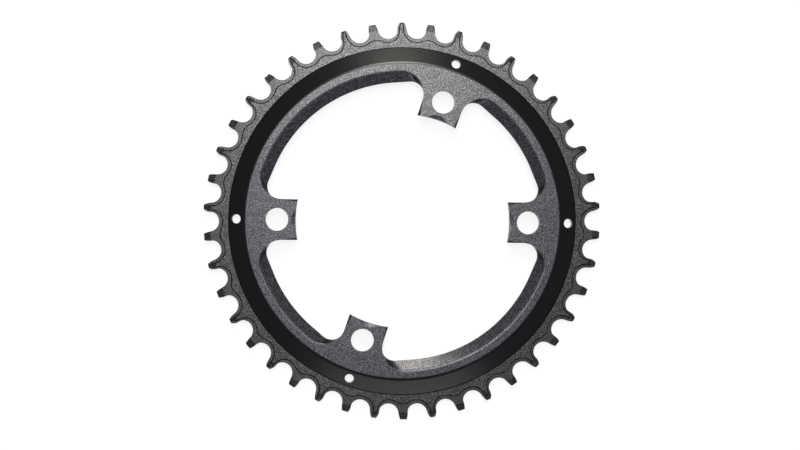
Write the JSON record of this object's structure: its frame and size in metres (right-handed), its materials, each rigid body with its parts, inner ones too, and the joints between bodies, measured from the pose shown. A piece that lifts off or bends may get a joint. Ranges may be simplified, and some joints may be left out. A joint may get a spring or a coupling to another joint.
{
  "type": "bicycle chainring",
  "caption": "Dished bicycle chainring with alternating wide and narrow teeth, a raised inner flange and inward bolt tabs.",
  "frame": {"origin": "on the ring's axis, in the plane of the rim's back face that it rests on", "axes": "+Z along the ring's axis towards the raised flange face; +X between two bolt tabs, along the longer side of the bolt rectangle"},
  "size_m": [0.1747, 0.1749, 0.0076],
  "materials": {
    "anodised_aluminium": "satin black anodised, fine blasted grain"
  },
  "bodies": {
    "root": {"chainring": "anodised_aluminium"}
  },
  "joints": []
}
